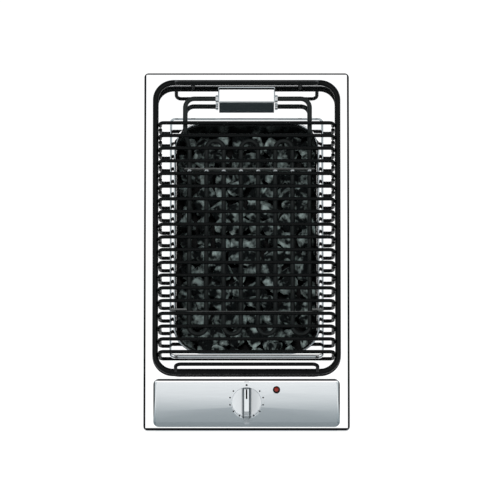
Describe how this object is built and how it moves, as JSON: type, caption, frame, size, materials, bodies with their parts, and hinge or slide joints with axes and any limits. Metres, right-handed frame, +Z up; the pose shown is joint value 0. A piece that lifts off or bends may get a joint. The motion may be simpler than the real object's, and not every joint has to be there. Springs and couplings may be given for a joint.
{
  "type": "built-in electric barbecue grill",
  "caption": "Narrow built-in barbecue hob: wire cooking grid over a tilting heating element and a basin of lava stones, with a hinge box behind and one knob in front.",
  "frame": {"origin": "bottom centre of the whole unit, on the plane the casing stands on", "axes": "+Z up, +Y from the control panel to the hinge box, +X to the right seen from the front"},
  "size_m": [0.285, 0.52, 0.1326],
  "materials": {
    "polished_steel": "polished stainless sheet",
    "bright_steel": "polished stainless sheet",
    "black_enamel": "glossy black enamel",
    "lava": "rough porous lava stone",
    "sheath_steel": "dark heat-treated tube",
    "strip_steel": "sheet, dulled by heat",
    "silver_knob": "satin silver with a black index line",
    "plain_steel": "zinc plated",
    "galvanised_steel": "galvanised sheet with spangle",
    "ceramic": "unglazed ceramic",
    "silicone": "matte silicone",
    "foam": "closed-cell foam",
    "red_lens": "clear red jewel",
    "black_bezel": "moulded black ring",
    "black_plastic": "moulded thermoset",
    "white_plastic": "moulded nylon",
    "mineral_board": "pressed mineral fibre"
  },
  "bodies": {
    "hob": {"basin": "bright_steel", "casing": "galvanised_steel", "casing_nuts": "plain_steel", "casing_studs": "plain_steel", "ceramic_connector": "ceramic", "clamp_screws": "plain_steel", "clamps": "plain_steel", "edge_seal": "foam", "heat_shield": "galvanised_steel", "hinge_box_base": "plain_steel", "hinge_box_cover": "bright_steel", "hinge_box_screws": "plain_steel", "hinge_bushing_left": "bright_steel", "hinge_bushing_right": "bright_steel", "hob_plate": "polished_steel", "insulation_pad": "mineral_board", "lava_stones": "lava", "mains_gland": "black_plastic", "mains_terminal": "white_plastic", "overheat_cutout": "black_plastic", "pilot_lamp_bezel": "black_bezel", "pilot_lamp_body": "black_plastic", "pilot_lamp_lens": "red_lens", "regulator": "black_plastic", "regulator_nut": "plain_steel", "stone_tray": "black_enamel", "wire_grommet": "silicone"},
    "grid": {"grid_feet": "black_enamel", "grid_loop_front": "black_enamel", "grid_loop_rear": "black_enamel", "grid_ring": "black_enamel", "grid_rod_01": "black_enamel", "grid_rod_02": "black_enamel", "grid_rod_03": "black_enamel", "grid_rod_04": "black_enamel", "grid_rod_05": "black_enamel", "grid_rod_06": "black_enamel", "grid_rod_07": "black_enamel", "grid_rod_08": "black_enamel", "grid_rod_09": "black_enamel", "grid_rod_10": "black_enamel", "grid_rod_11": "black_enamel", "grid_rod_12": "black_enamel", "grid_rod_13": "black_enamel", "grid_rod_14": "black_enamel", "grid_rod_15": "black_enamel", "grid_rod_16": "black_enamel", "grid_rod_17": "black_enamel", "grid_rod_18": "black_enamel", "grid_rod_19": "black_enamel"},
    "element": {"element_clips": "strip_steel", "element_pins": "sheath_steel", "element_sheath": "sheath_steel", "element_strip_front": "strip_steel", "element_strip_rear": "strip_steel"},
    "knob": {"knob": "silver_knob", "knob_spring": "plain_steel", "regulator_shaft": "plain_steel"}
  },
  "joints": [
    {"name": "grid_lift", "type": "slide", "parent": "hob", "child": "grid", "axis": [0, 0, 1], "range_m": [0, 0.45]},
    {"name": "element_tilt", "type": "hinge", "parent": "hob", "child": "element", "pos_m": [0, 0.2162, 0.113], "axis": [-1, 0, 0], "range_deg": [0, 75]},
    {"name": "knob_turn", "type": "hinge", "parent": "hob", "child": "knob", "pos_m": [0, -0.2203, 0.105], "axis": [0, 0, -1], "range_deg": [0, 309]}
  ],
  "couplings": [
    {"joint": "element_tilt", "follows": "grid_lift", "rad_per_m": 2.9088}
  ]
}
